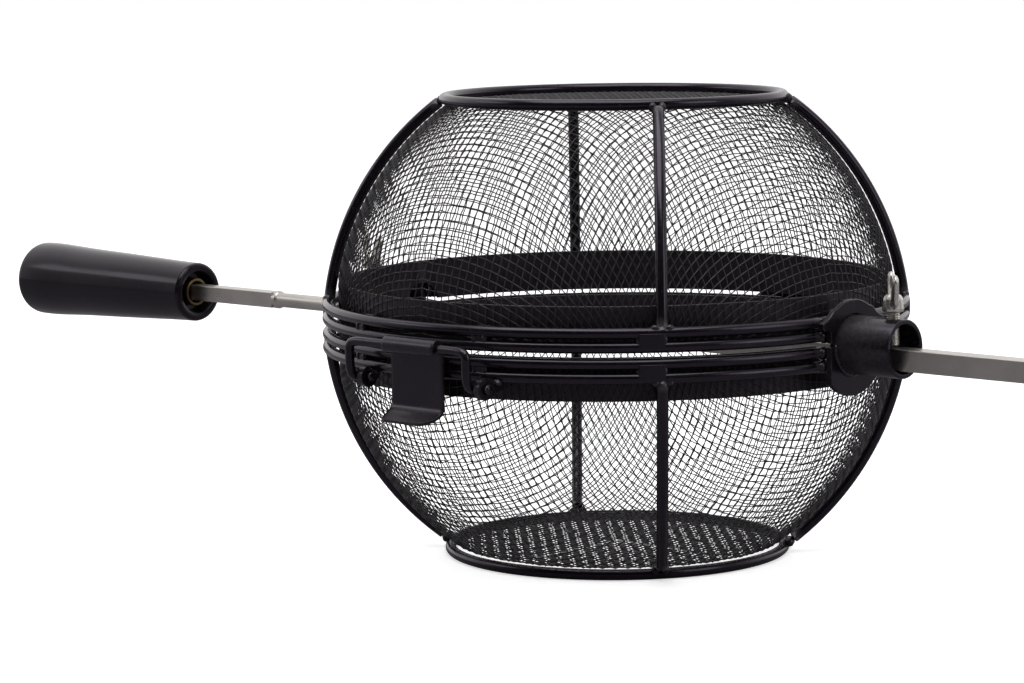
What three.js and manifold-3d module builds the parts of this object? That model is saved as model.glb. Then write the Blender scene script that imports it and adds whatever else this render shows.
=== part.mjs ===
// Round two-part grill basket on a square spit, in millimetres.
// +Z is up and Z = 0 is the plane the base's end ring stands on. The spit runs along X with its
// handle at -X. The latch is at -Y and the lid's hinge at +Y.
import * as THREE from "three";
import Module from "manifold-3d";

// ---- driving dimensions ----
const MID = 107.7; // height of the plane where lid and base meet
const GAP = 0.3; // clearance left between neighbouring pieces

const WIRE = 2.5; // radius of the rim and end ring wire
const RIB_WIRE = 2.6; // radius of the rib wire
const RIM_R = 133.4; // rim ring centreline
const RIM_IN = 3.6; // rim ring next to the opening, from the middle plane
const RIM_OUT = 9.7; // the other rim ring
const RIM_STOP_Y = 15; // a rim ring is two arcs whose ends stop here beside the collars
const END_R = 78; // end ring centreline
const END_Z = { lid: 104, base: 105.2 }; // end ring, from the middle plane
const RIB_ARC = 134.1; // radius of a rib's arc
const RIB_DROP = { lid: 4.7, base: 4.7 }; // how far that arc's centre lies inside the other half
const RIB_TOP = { lid: 2.3, base: 4.2 }; // end of the rib, below the end ring's centre
const RIB_RIM_DEG = 40; // a rib's direction from the spit at the rim
const RIB_END_DEG = 34; // and at the end ring

const SKIN_R = 128.1; // woven skin, outside radius at the rim
const SKIN_T = 0.8;
const SKIN_ARC = 131; // radius of the skin's dome
const SKIN_TURN = { lid: 100.6, base: 102.6 }; // the dome stops at this height
const SKIN_TOP = { lid: 102.4, base: 103.4 }; // flat end of the skin, inside the end ring
const BAND_R = 127.0; // sheet band inside the skin
const BAND_T = 1.2;
const BAND_LOW = 1.4;
const BAND_HIGH = 20.6;
const STRAP_DEG = 15.6; // rim straps, either side of latch and hinge
const STRAP_W = 7;
const STRAP_Z = [2, 11.9];

const COLLAR_Z = -1; // collars' axis, from the middle plane
const PLATE_X = 136.3; // inner face of the collar plates
const PLATE_T = 2.8;
const SEAM = 0.8; // half the slot between a lid plate and a base plate
const HUMP_R = 20;
const FOOT_Y = 21.5; // feet of the lid plate, beside its hump
const FOOT_Z = [6.6, 10.4];
const NECK_Y = 16; // half width of both plates next to the slot
const LOWER_R = 22.6;
const TUBE_R = 13;
const BORE_R = 10.8;
const TUBE_END = 166.8;

const SCREW_X = 160.3;
const SCREW_R = 3; // M6
const SCREW_TIP = 0.1; // above the middle plane
const WING_LOW = 15;
const WING_HIGH = 31.8;
const WING_SPAN = 12;
const WING_TURN = { right: -47, left: 25 }; // degrees about the screw, from the spit

const ROD = 9.525; // square spit, three eighths of an inch
const ROD_DROP = 5.4; // the spit lies in the bottom of the collar bores
const ROD_FREE_X = 416.5;
const ROD_STEP_X = -192; // square spit ends here, journal begins
const JOURNAL_R = 3.65;
const SHOULDER_R = 4.45;
const SHOULDER_X = [-227.4, -230.8];
const TANG = 7.94; // square end that the handle sits on
const HANDLE_X = [-290, -416.5];
const HANDLE_R = [15.2, 19.4];
const FERRULE_R = 7.2;
const FERRULE_BORE = 5.8;
const FERRULE_IN = [1.2, 6.7]; // how far its faces lie inside the handle's mouth

const LATCH_X = 2.8; // middle of the latch bail
const LATCH_HALF = 35.6; // half the distance between the bail's legs
const BAIL_WIRE = 2.1;
const BAR_Y = -140.2; // bail's cross bar
const BAR_Z = 1.9;
const PIVOT_Y = -134.4;
const PIVOT_Z = -14.3;
const PIN_LONG = 7.8; // both pins point along +X
const EYE_AT = 4.8; // middle of an eye, from its leg
const EYE_T = 3;
const EYE_R = 4.8;
const TAB_X = 6.2; // the tab can slide along the bar
const TAB_W = 31;
const TAB_T = 1.6;
const TAB_LOW = -32;
const TAB_FLARE = 9;
const TAB_CORNERS = [2.5, 9]; // radii of its lower corners, left and right

const HINGE_Y = 142.4;
const HINGE_PIN = 2;
const BARREL_R = 4.4;
const BARREL_BORE = 2.3;

const api = await Module();
api.setup();
const { Manifold, CrossSection } = api;

// ---- materials ----
const paint = (name, color, metalness, roughness) =>
  Object.assign(new THREE.MeshStandardMaterial({ color, metalness, roughness }), { name });
const enamel = () => paint("black_enamel", 0x1b191a, 0.2, 0.35);
const weave = () => paint("coated_weave", 0x242223, 0.2, 0.5);
const nickel = () => paint("nickel_steel", 0xb4afa8, 0.9, 0.35);
const grip = () => paint("black_grip", 0x0c0c0d, 0.0, 0.2);
const brass = () => paint("brass", 0xb08a3e, 0.9, 0.3);

// ---- small helpers ----
const v3 = (x, y, z) => new THREE.Vector3(x, y, z);
const deg = (a) => (a * Math.PI) / 180;

function fromManifold(body) {
  const mesh = body.getMesh();
  const geometry = new THREE.BufferGeometry();
  geometry.setAttribute("position", new THREE.BufferAttribute(mesh.vertProperties, 3));
  geometry.setIndex(new THREE.BufferAttribute(mesh.triVerts, 1));
  const flat = geometry.toNonIndexed();
  flat.computeVertexNormals();
  return flat;
}

// A solid swept by a regular polygon of `sides` along points; `closed` joins the ends.
function sweepWire(points, radius, sides, closed) {
  const n = points.length;
  const position = [];
  const index = [];
  const spin = Math.PI / sides;
  points.forEach((p, i) => {
    const before = points[closed ? (i + n - 1) % n : Math.max(i - 1, 0)];
    const after = points[closed ? (i + 1) % n : Math.min(i + 1, n - 1)];
    const along = after.clone().sub(before).normalize();
    const into = p.clone().sub(before).normalize();
    const side = wireSide(along, points);
    const up = along.clone().cross(side).normalize();
    const stretch = i > 0 || closed ? 1 / Math.max(into.dot(along), 0.7) : 1;
    for (let k = 0; k < sides; k += 1) {
      const a = spin + (2 * Math.PI * k) / sides;
      const r = radius / Math.cos(Math.PI / sides);
      const out = side.clone().multiplyScalar(Math.cos(a) * r * stretch);
      const q = p.clone().add(out).addScaledVector(up, Math.sin(a) * r);
      position.push(q.x, q.y, q.z);
    }
  });
  const rings = closed ? n : n - 1;
  for (let i = 0; i < rings; i += 1) {
    for (let k = 0; k < sides; k += 1) {
      const a = i * sides + k;
      const b = i * sides + ((k + 1) % sides);
      const c = ((i + 1) % n) * sides + ((k + 1) % sides);
      const d = ((i + 1) % n) * sides + k;
      index.push(a, b, c, a, c, d);
    }
  }
  for (let k = 1; !closed && k < sides - 1; k += 1) {
    const last = (n - 1) * sides;
    index.push(0, k + 1, k, last, last + k, last + k + 1);
  }
  const mesh = new api.Mesh({
    numProp: 3,
    vertProperties: new Float32Array(position),
    triVerts: new Uint32Array(index),
  });
  return new Manifold(mesh);
}

// The in-plane sideways direction of a planar wire at a point.
function wireSide(along, points) {
  const a = points[1].clone().sub(points[0]);
  const mid = points[Math.floor(points.length / 2)];
  const plane = a.cross(mid.clone().sub(points[0])).normalize();
  return along.clone().cross(plane).normalize();
}

function ringPoints(radius, z, count) {
  return Array.from({ length: count }, (_, i) => {
    const a = (2 * Math.PI * i) / count;
    return v3(radius * Math.cos(a), radius * Math.sin(a), z);
  });
}

const ring = (radius, z, count) => sweepWire(ringPoints(radius, z, count), WIRE, 8, true);

// Half a rim ring, at +Y or -Y, stopping short of the collar tubes.
function rimArc(z, sign) {
  const from = Math.asin(RIM_STOP_Y / RIM_R);
  const points = Array.from({ length: 23 }, (_, i) => {
    const a = from + ((Math.PI - 2 * from) * i) / 22;
    return v3(sign * RIM_R * Math.cos(a), sign * RIM_R * Math.sin(a), z);
  });
  return sweepWire(points, WIRE, 8, false);
}

// A solid of revolution about Z from a closed [r, z] outline.
const turned = (outline, segments) => Manifold.revolve([outline], segments);

// A closed [a, b] outline pulled along X from x0 to x1, with a -> Y and b -> Z.
function pulledX(outline, x0, x1) {
  const flat = new CrossSection([outline], "NonZero");
  return Manifold.extrude(flat, x1 - x0)
    .rotate([90, 0, 90])
    .translate([x0, 0, 0]);
}

const block = (x, y, z) =>
  Manifold.cube([x[1] - x[0], y[1] - y[0], z[1] - z[0]]).translate([x[0], y[0], z[0]]);

const rodX = (radius, x0, x1, segments) =>
  Manifold.cylinder(x1 - x0, radius, radius, segments).rotate([0, 90, 0]).translate([x0, 0, 0]);

const arc = (cy, cz, radius, from, to, steps) =>
  Array.from({ length: steps + 1 }, (_, i) => {
    const a = deg(from + ((to - from) * i) / steps);
    return [cy + radius * Math.cos(a), cz + radius * Math.sin(a)];
  });

// Lid shapes are drawn above the middle plane; the base takes their mirror image below it.
const half = (body, which) => (which === "lid" ? body : body.mirror([0, 0, 1]));

// ---- frame of one half ----
function rib(which, signX, signY) {
  const rim = [Math.cos(deg(RIB_RIM_DEG)) * RIB_ARC, Math.sin(deg(RIB_RIM_DEG)) * RIB_ARC];
  const end = [Math.cos(deg(RIB_END_DEG)) * END_R, Math.sin(deg(RIB_END_DEG)) * END_R];
  const drop = RIB_DROP[which];
  const low = RIM_OUT + WIRE + GAP;
  const high = END_Z[which] - RIB_TOP[which];
  const from = Math.asin((low + drop) / RIB_ARC);
  const to = Math.asin((high + drop) / RIB_ARC);
  const points = Array.from({ length: 13 }, (_, i) => {
    const a = from + ((to - from) * i) / 12;
    const [x, y] = onLine(rim, end, RIB_ARC * Math.cos(a));
    return v3(signX * x, signY * y, RIB_ARC * Math.sin(a) - drop);
  });
  return half(sweepWire(points, RIB_WIRE, 8, false), which);
}

// The point of the line through `from` and `to` that lies `radius` from the axis.
function onLine(from, to, radius) {
  const d = [to[0] - from[0], to[1] - from[1]];
  const a = d[0] ** 2 + d[1] ** 2;
  const b = 2 * (from[0] * d[0] + from[1] * d[1]);
  const c = from[0] ** 2 + from[1] ** 2 - radius ** 2;
  const t = (-b - Math.sqrt(b * b - 4 * a * c)) / (2 * a);
  return [from[0] + t * d[0], from[1] + t * d[1]];
}

// Wall, dome and flat end of the skin, `inset` inside its outer surface.
function skinOutline(which, inset) {
  const radius = SKIN_ARC - inset;
  const drop = RIB_DROP[which];
  const low = Math.asin((26 + drop) / radius);
  const high = Math.asin((SKIN_TURN[which] - inset / 2 + drop) / radius);
  const top = SKIN_TOP[which] - inset;
  return [
    [SKIN_R - inset, BAND_LOW],
    [SKIN_R - inset, BAND_HIGH + GAP],
    ...arc(0, -drop, radius, (low * 180) / Math.PI, (high * 180) / Math.PI, 8),
    [END_R - 3.6 - inset, top - 0.35],
    [END_R - 5.6 - inset, top],
  ];
}

function skin(which) {
  const outer = skinOutline(which, 0);
  const inner = skinOutline(which, SKIN_T);
  const top = SKIN_TOP[which];
  const outline = [...outer, [0, top], [0, top - SKIN_T], ...inner.reverse()];
  return half(turned(outline, 40).subtract(spitWay(which)), which);
}

// The round way the spit takes through both walls of a half drawn above the middle plane.
const spitWay = (which) =>
  rodX(BORE_R, -140, 140, 24).translate([0, 0, which === "lid" ? COLLAR_Z : -COLLAR_Z]);

function band(which) {
  const outline = [
    [BAND_R - BAND_T, BAND_LOW],
    [BAND_R, BAND_LOW],
    [BAND_R, BAND_HIGH],
    [BAND_R - BAND_T, BAND_HIGH],
  ];
  return half(turned(outline, 40).subtract(spitWay(which)), which);
}

// A short strap behind both rim rings, centred at angle a.
function strap(which, a) {
  const plate = block([128.5, 130.5], [-STRAP_W / 2, STRAP_W / 2], STRAP_Z);
  return half(plate.rotate([0, 0, a]), which);
}

// ---- collars ----
// Arched plate with a foot on either side and a notch for the tube.
function lidPlate(side) {
  const cut = TUBE_R + 0.7;
  const flank = [
    [FOOT_Y, FOOT_Z[1] - 0.6],
    [FOOT_Y - 0.8, FOOT_Z[1]],
    [FOOT_Y - 2.6, FOOT_Z[1] + 0.5],
    [FOOT_Y - 4.6, FOOT_Z[1] + 1.7],
    [FOOT_Y - 6.4, FOOT_Z[1] + 3.3],
    [FOOT_Y - 8.0, FOOT_Z[1] + 4.7],
  ];
  const left = flank.map(([y, z]) => [-y, z]).reverse();
  const outline = [
    [NECK_Y, SEAM],
    [NECK_Y, FOOT_Z[0] - 1],
    [NECK_Y + 1, FOOT_Z[0]],
    [FOOT_Y - 1.2, FOOT_Z[0]],
    [FOOT_Y, FOOT_Z[0] + 1.2],
    ...flank,
    ...arc(0, COLLAR_Z, HUMP_R, 58, 122, 20),
    ...left,
    [-FOOT_Y, FOOT_Z[0] + 1.2],
    [1.2 - FOOT_Y, FOOT_Z[0]],
    [-NECK_Y - 1, FOOT_Z[0]],
    [-NECK_Y, FOOT_Z[0] - 1],
    [-NECK_Y, SEAM],
    ...arc(0, COLLAR_Z, cut, 172.5, 7.5, 36),
  ];
  return mirrorX(pulledX(outline, PLATE_X, PLATE_X + PLATE_T), side);
}

// Round plate with flat sides next to the slot.
function basePlate(side) {
  const turn = (Math.acos(NECK_Y / LOWER_R) * 180) / Math.PI;
  const outline = [
    ...arc(0, COLLAR_Z, LOWER_R, turn - 180, -turn, 30),
    [NECK_Y, -SEAM],
    ...arc(0, COLLAR_Z, TUBE_R + GAP, 0.8, -180.8, 40),
    [-NECK_Y, -SEAM],
  ];
  return mirrorX(pulledX(outline, PLATE_X, PLATE_X + PLATE_T), side);
}

const mirrorX = (body, side) => (side < 0 ? body.mirror([1, 0, 0]) : body);

function collarTube(side) {
  const tube = rodX(TUBE_R, PLATE_X - 0.2, TUBE_END, 48).subtract(
    rodX(BORE_R, PLATE_X - 3, TUBE_END + 2, 48),
  );
  const tapped = Manifold.cylinder(12, SCREW_R + GAP, SCREW_R + GAP, 20).translate([SCREW_X, 0, 4]);
  return mirrorX(tube.translate([0, 0, COLLAR_Z]).subtract(tapped), side);
}

function screwShank(side) {
  const shank = Manifold.cylinder(WING_LOW - GAP - SCREW_TIP, SCREW_R, SCREW_R, 16);
  return mirrorX(shank.translate([SCREW_X, 0, SCREW_TIP]), side);
}

// Wing head: a hub with two flat ears that widen upwards.
function screwWing(side) {
  const hub = Manifold.cylinder(8, 4.8, 4.2, 20).translate([0, 0, WING_LOW]);
  const ears = [
    [-3, WING_LOW + 1],
    [3, WING_LOW + 1],
    [8, WING_LOW + 5],
    [WING_SPAN, WING_HIGH - 5],
    [WING_SPAN - 0.6, WING_HIGH - 1.5],
    [WING_SPAN - 3, WING_HIGH],
    [WING_SPAN - 6, WING_HIGH - 1.5],
    [4.6, WING_LOW + 8],
    [-4.6, WING_LOW + 8],
    [6 - WING_SPAN, WING_HIGH - 1.5],
    [3 - WING_SPAN, WING_HIGH],
    [0.6 - WING_SPAN, WING_HIGH - 1.5],
    [-WING_SPAN, WING_HIGH - 5],
    [-8, WING_LOW + 5],
  ];
  const wing = hub.add(pulledX(ears, -1.6, 1.6));
  const turn = side > 0 ? WING_TURN.right : WING_TURN.left;
  return mirrorX(wing.rotate([0, 0, turn]).translate([SCREW_X, 0, 0]), side);
}

// ---- latch ----
// One leg of the bail from the cross bar to its pin; `pin` is the way the pin points.
function leg(pin) {
  const h = LATCH_HALF;
  const bend = 5;
  const points = arc(h - bend, BAR_Z - bend, bend, 90, 0, 4).map(([x, z]) => v3(x, BAR_Y, z));
  points.push(v3(h, BAR_Y, -8.4));
  points.push(v3(h, BAR_Y + 1, -11.2));
  points.push(v3(h, BAR_Y + 3, PIVOT_Z + 0.9));
  points.push(v3(h + pin * 0.8, PIVOT_Y - 0.8, PIVOT_Z));
  points.push(v3(h + pin * 2.4, PIVOT_Y, PIVOT_Z));
  points.push(v3(h + pin * PIN_LONG, PIVOT_Y, PIVOT_Z));
  return points;
}

function bail() {
  const left = leg(-1).map((p) => v3(-p.x, p.y, p.z)).reverse();
  return threadWire([...left, ...leg(1)], BAIL_WIRE, 8).translate([LATCH_X, 0, 0]);
}

// A round wire through points that need not be planar: hulls of neighbouring joints.
function threadWire(points, radius, sides) {
  const ball = Manifold.sphere(radius, sides);
  const links = points.slice(1).map((p, i) => {
    const a = ball.translate([points[i].x, points[i].y, points[i].z]);
    return Manifold.hull([a, ball.translate([p.x, p.y, p.z])]);
  });
  return Manifold.union(links);
}

// Flat eye for a pin, drawn out under the base's outer rim ring.
function latchEye(side) {
  const x = LATCH_X + side * LATCH_HALF + EYE_AT;
  const ringY = -Math.sqrt(RIM_R ** 2 - x ** 2);
  const disc = (radius, y, z) => rodX(radius, x - EYE_T / 2, x + EYE_T / 2, 28).translate([0, y, z]);
  const root = disc(2.2, ringY + 0.8, -RIM_OUT - WIRE - 0.9);
  const lug = Manifold.hull([disc(EYE_R, PIVOT_Y, PIVOT_Z), root]);
  const clear = WIRE + GAP + (Math.abs(x) / RIM_R) * (EYE_T / 2);
  const ringWay = rodX(clear, x - 4, x + 4, 32).translate([0, ringY, -RIM_OUT]);
  const hole = rodX(BAIL_WIRE + GAP, x - 4, x + 4, 24).translate([0, PIVOT_Y, PIVOT_Z]);
  return lug.subtract(ringWay).subtract(hole);
}

// Sheet that hangs behind the cross bar, wraps over it to the front and flares at its foot.
function tab() {
  const inner = BAIL_WIRE + GAP;
  const outer = inner + TAB_T;
  const back = BAR_Y + inner;
  const foot = TAB_LOW + 8.5;
  const outline = [
    ...arc(BAR_Y, BAR_Z, inner, 0, 225, 24),
    ...arc(BAR_Y, BAR_Z, outer, 225, 0, 28),
    [back + TAB_T, foot + 1.4],
    [back + TAB_T - 1.8, foot - 1.8],
    [back + TAB_T - TAB_FLARE, TAB_LOW],
    [back - TAB_FLARE, TAB_LOW + 1.4],
    [back - 1.2, foot - 0.6],
    [back, foot + 1.4],
  ];
  const strip = pulledX(outline.reverse(), TAB_X - TAB_W / 2, TAB_X + TAB_W / 2);
  return strip.intersect(tabFace());
}

// The tab's front outline, with its lower corners rounded.
function tabFace() {
  const w = TAB_W / 2;
  const [left, right] = TAB_CORNERS;
  const low = TAB_LOW - 1;
  const outline = [
    [w, 20],
    [-w, 20],
    ...arc(left - w, low + left, left, 180, 270, 6),
    ...arc(w - right, low + right, right, 270, 360, 6),
  ];
  const flat = new CrossSection([outline], "NonZero");
  return Manifold.extrude(flat, 60).rotate([90, 0, 0]).translate([TAB_X, -110, 0]);
}

// ---- hinge ----
function barrel(x0, x1, up) {
  const leaf = block([x0, x1], [RIM_R + WIRE + GAP, HINGE_Y], up > 0 ? [1.2, 4] : [-4, -1.2]);
  const body = rodX(BARREL_R, x0, x1, 20).translate([0, HINGE_Y, 0]).add(leaf);
  return body.subtract(rodX(BARREL_BORE, x0 - 1, x1 + 1, 20).translate([0, HINGE_Y, 0]));
}

const hingePin = () => rodX(HINGE_PIN, -27.5, 27.5, 16).translate([0, HINGE_Y, 0]);

// ---- spit and handle ----
function spitRod() {
  const h = ROD / 2;
  const c = 0.5;
  const outline = [
    [h, c - h], [h, h - c], [h - c, h], [c - h, h],
    [-h, h - c], [-h, c - h], [c - h, -h], [h - c, -h],
  ];
  return pulledX(outline, ROD_STEP_X, ROD_FREE_X).translate([0, 0, -ROD_DROP]);
}

function spitJournal() {
  const t = TANG / 2;
  const tang = block([HANDLE_X[0] - 90, SHOULDER_X[1] + 1], [-t, t], [-t, t]);
  const journal = rodX(JOURNAL_R, SHOULDER_X[0] - 1, ROD_STEP_X - GAP, 24);
  const shoulder = rodX(SHOULDER_R, SHOULDER_X[1], SHOULDER_X[0], 24);
  return tang.add(journal).add(shoulder).translate([0, 0, -ROD_DROP]);
}

// Handle outline from the small end to the large one, as [r, distance along].
function handle() {
  const long = HANDLE_X[0] - HANDLE_X[1];
  const [small, large] = HANDLE_R;
  const outline = [
    [6.0, 92], [0, 92], [0, long], [large - 2.4, long], [large - 0.9, long - 0.5],
    [large - 0.1, long - 2], [large, long - 8], [large - 1.4, long - 42], [small + 0.9, 34],
    [small, 12], [small - 0.2, 2], [small - 1.4, 0], [small - 4.2, 0], [small - 4.8, 2],
    [small - 5.4, 7], [6.0, 7],
  ];
  return turned(outline.reverse(), 28)
    .rotate([0, -90, 0])
    .translate([HANDLE_X[0], 0, -ROD_DROP]);
}

function ferrule() {
  const [front, back] = FERRULE_IN;
  const outline = [
    [FERRULE_BORE, front], [FERRULE_R - 0.5, front], [FERRULE_R, front + 0.5],
    [FERRULE_R, back], [FERRULE_BORE, back],
  ];
  return turned(outline, 28).rotate([0, -90, 0]).translate([HANDLE_X[0], 0, -ROD_DROP]);
}

// ---- assembly ----
const group = new THREE.Group();
group.name = "grill_basket";

function place(name, body, material) {
  const mesh = new THREE.Mesh(fromManifold(body.translate([0, 0, MID])), material);
  mesh.name = name;
  group.add(mesh);
}

for (const which of ["base", "lid"]) {
  const s = which === "lid" ? 1 : -1;
  place(`${which}_end_ring`, ring(END_R, s * END_Z[which], 40), enamel());
  for (const [sign, at] of [[-1, "front"], [1, "back"]]) {
    place(`${which}_rim_inner_${at}`, rimArc(s * RIM_IN, sign), enamel());
    place(`${which}_rim_outer_${at}`, rimArc(s * RIM_OUT, sign), enamel());
  }
  place(`${which}_rib_right_front`, rib(which, 1, -1), enamel());
  place(`${which}_rib_right_back`, rib(which, 1, 1), enamel());
  place(`${which}_rib_left_front`, rib(which, -1, -1), enamel());
  place(`${which}_rib_left_back`, rib(which, -1, 1), enamel());
  place(`${which}_band`, band(which), enamel());
  place(`${which}_mesh`, skin(which), weave());
  [-90 - STRAP_DEG, -90 + STRAP_DEG, 90 - STRAP_DEG, 90 + STRAP_DEG].forEach((a, i) =>
    place(`${which}_strap_${i + 1}`, strap(which, a), enamel()),
  );
}

for (const [side, name] of [[1, "right"], [-1, "left"]]) {
  place(`lid_plate_${name}`, lidPlate(side), enamel());
  place(`base_plate_${name}`, basePlate(side), enamel());
  place(`collar_tube_${name}`, collarTube(side), enamel());
  place(`wing_screw_${name}_shank`, screwShank(side), nickel());
  place(`wing_screw_${name}_wing`, screwWing(side), nickel());
  place(`latch_eye_${name}`, latchEye(side), enamel());
}

place("latch_bail", bail(), enamel());
place("latch_tab", tab(), enamel());
place("hinge_barrel_base_right", barrel(12.3, 26, -1), enamel());
place("hinge_barrel_base_left", barrel(-26, -12.3, -1), enamel());
place("hinge_barrel_lid", barrel(-12, 12, 1), enamel());
place("hinge_pin", hingePin(), nickel());
place("spit_rod", spitRod(), nickel());
place("spit_journal", spitJournal(), nickel());
place("handle", handle(), grip());
place("handle_ferrule", ferrule(), brass());

export default group;
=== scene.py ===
import itertools
import math

import bmesh
import bpy
import numpy as np
from mathutils import Matrix, Vector, noise


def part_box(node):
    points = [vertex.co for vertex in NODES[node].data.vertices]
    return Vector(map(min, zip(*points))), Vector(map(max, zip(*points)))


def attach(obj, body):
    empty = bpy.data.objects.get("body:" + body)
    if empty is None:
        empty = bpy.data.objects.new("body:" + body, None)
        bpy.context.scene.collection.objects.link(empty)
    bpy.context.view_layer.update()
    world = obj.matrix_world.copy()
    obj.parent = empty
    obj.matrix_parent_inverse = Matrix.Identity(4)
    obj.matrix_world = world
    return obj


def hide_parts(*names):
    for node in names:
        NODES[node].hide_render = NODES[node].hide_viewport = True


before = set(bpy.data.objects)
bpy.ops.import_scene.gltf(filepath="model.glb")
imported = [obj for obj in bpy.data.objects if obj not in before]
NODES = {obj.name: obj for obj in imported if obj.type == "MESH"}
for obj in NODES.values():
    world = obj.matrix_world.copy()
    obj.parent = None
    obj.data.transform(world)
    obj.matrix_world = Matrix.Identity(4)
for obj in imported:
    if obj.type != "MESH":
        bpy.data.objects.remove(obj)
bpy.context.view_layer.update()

MM = 0.001

# ---- the frame's own measures, in metres ----
MID = (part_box("lid_rim_inner_front")[0].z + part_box("base_rim_inner_front")[1].z) / 2
RIM_WIRE = 2.5 * MM
RIB_WIRE = 2.6 * MM
RIM_R = 133.4 * MM
RIM_Z = (3.6 * MM, 9.7 * MM)
RIM_STOP_Y = -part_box("lid_rim_inner_front")[1].y
END_R = 78 * MM
END_Z = {"lid": 104 * MM, "base": 105.2 * MM}
RIB_ARC = 134.1 * MM
RIB_DROP = 4.7 * MM  # how far past the middle plane a rib's arc is centred
RIB_TOP = {"lid": 2.3 * MM, "base": 4.2 * MM}
RIB_RIM_DEG, RIB_END_DEG = 40, 34
STRAP_DEG = 15.6
ROD_Z = MID - 5.4 * MM
COLLAR_Z = MID - 1 * MM
TUBE_R = 13 * MM
BORE_R = 10.8 * MM
SIGN = {"lid": 1, "base": -1}
QUARTERS = ((1, 1), (1, -1), (-1, 1), (-1, -1))
UP = np.array([0, 0, 1.0])

# ---- woven skin ----
PITCH = 3.95 * MM
WEAVE_WIRE = 0.27 * MM
CRIMP = 0.95 * WEAVE_WIRE  # how far a wire rises at a crossing
SKIN_INSET = 0.1 * MM
SPIT_WAY_R = 12 * MM
SPIT_WAY_X = 0.1  # the weave is cut for the spit only beyond this

# ---- webs and latch ----
WEB_SHIFT = 4.6 * MM  # a web lies beside its rib along the rim
RIB_WEB = (11.4 * MM, 2.6 * MM)  # width, and how far it stands in front of the wires
STRAP_WEB = (5.6 * MM, 1.5 * MM)
BAR = (-140.2 * MM, 1.9 * MM)
PIVOT = (-134.4 * MM, -14.3 * MM)
BAIL_WIRE = 2.1 * MM
LATCH_X = 2.8 * MM
LATCH_HALF = 35.6 * MM
TAB_T = 1.5 * MM
TAB_CORNERS = (2.5 * MM, 9 * MM)  # radii of the tab's lower corners, left and right


# ================= mesh helpers =================
def piece(name, verts, faces, material, body, nodes=(), sharp=35):
    """A shown piece from vertices and faces, riding on a body."""
    mesh = bpy.data.meshes.new(name)
    mesh.from_pydata(np.asarray(verts, float).tolist(), [], faces)
    mesh.validate()
    mesh.polygons.foreach_set("use_smooth", [True] * len(mesh.polygons))
    if sharp:
        mesh.set_sharp_from_angle(angle=math.radians(sharp))
    obj = bpy.data.objects.new(name, mesh)
    bpy.context.scene.collection.objects.link(obj)
    mesh.materials.append(material)
    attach(obj, body)
    if nodes:
        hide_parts(*nodes)
    return obj


def bevel(obj, width, segments=3, angle=35):
    mod = obj.modifiers.new("edge", "BEVEL")
    mod.width = width
    mod.segments = segments
    mod.limit_method = "ANGLE"
    mod.angle_limit = math.radians(angle)
    return obj


def even_flats(obj, keep_sharp=True):
    """Keep a piece's flat faces evenly shaded beside its rounded edges."""
    flat = obj.modifiers.new("flat", "WEIGHTED_NORMAL")
    flat.keep_sharp = keep_sharp
    return obj


def dress(node, material, width):
    """A CAD piece shown as it is, with its edges eased and a finished surface."""
    obj = NODES[node]
    obj.data.materials.clear()
    obj.data.materials.append(material)
    weld = obj.modifiers.new("weld", "WELD")
    weld.merge_threshold = 0.005 * MM
    bevel(obj, width)
    return even_flats(obj, keep_sharp=False)


def wrap_faces(rows, around):
    """Quads between successive rings of points, each ring closed on itself."""
    faces = []
    for i in range(rows):
        for k in range(around):
            q = (k + 1) % around
            faces.append([i * around + k, i * around + q, (i + 1) * around + q, (i + 1) * around + k])
    return faces


def grid_faces(rows, cols):
    """Quads of an open grid, whose rows hold cols points each."""
    return [[i * cols + k, i * cols + k + 1, (i + 1) * cols + k + 1, (i + 1) * cols + k]
            for i in range(rows) for k in range(cols - 1)]


def end_caps(rows, around):
    """The first and the last ring of wrapped points as two faces."""
    return [list(range(around))[::-1], list(range(rows * around, (rows + 1) * around))]


def merge(parts):
    """Several (verts, faces) as one."""
    verts, faces, base = [], [], 0
    for v, f in parts:
        v = np.asarray(v, float)
        verts.append(v)
        faces += [[i + base for i in face] for face in f]
        base += len(v)
    return np.vstack(verts), faces


def unit(v):
    return v / np.maximum(np.linalg.norm(v, axis=-1, keepdims=True), 1e-12)


def tangents(points, closed):
    if closed:
        return unit(np.roll(points, -1, 0) - np.roll(points, 1, 0))
    return unit(np.gradient(points, axis=0))


def frames(points, closed):
    """Sideways vectors carried along a path without twist."""
    t = tangents(points, closed)
    first = np.array([0.0, 0.0, 1.0]) if abs(t[0][2]) < 0.9 else np.array([1.0, 0.0, 0.0])
    side = [unit(first - t[0] * first.dot(t[0]))]
    for i in range(1, len(points)):
        s = side[-1] - t[i] * side[-1].dot(t[i])
        side.append(unit(s))
    side = np.array(side)
    return side, np.cross(t, side)


def skin_tube(points, side, up, radius, sides, closed):
    """Rings of points round a path, joined to a tube, with its ends capped."""
    n = len(points)
    radius = np.broadcast_to(radius, (n,))
    a = np.arange(sides) * 2 * math.pi / sides
    ring = side[:, None] * np.cos(a)[None, :, None] + up[:, None] * np.sin(a)[None, :, None]
    verts = (points[:, None] + ring * radius[:, None, None]).reshape(-1, 3)
    rows = np.arange(n if closed else n - 1)
    k = np.arange(sides)
    i0 = rows[:, None] * sides + k
    i1 = rows[:, None] * sides + (k + 1) % sides
    j0 = ((rows + 1) % n)[:, None] * sides + k
    j1 = ((rows + 1) % n)[:, None] * sides + (k + 1) % sides
    faces = np.stack([i0, i1, j1, j0], -1).reshape(-1, 4).tolist()
    if not closed:
        faces += end_caps(n - 1, sides)
    return verts, faces


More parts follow.
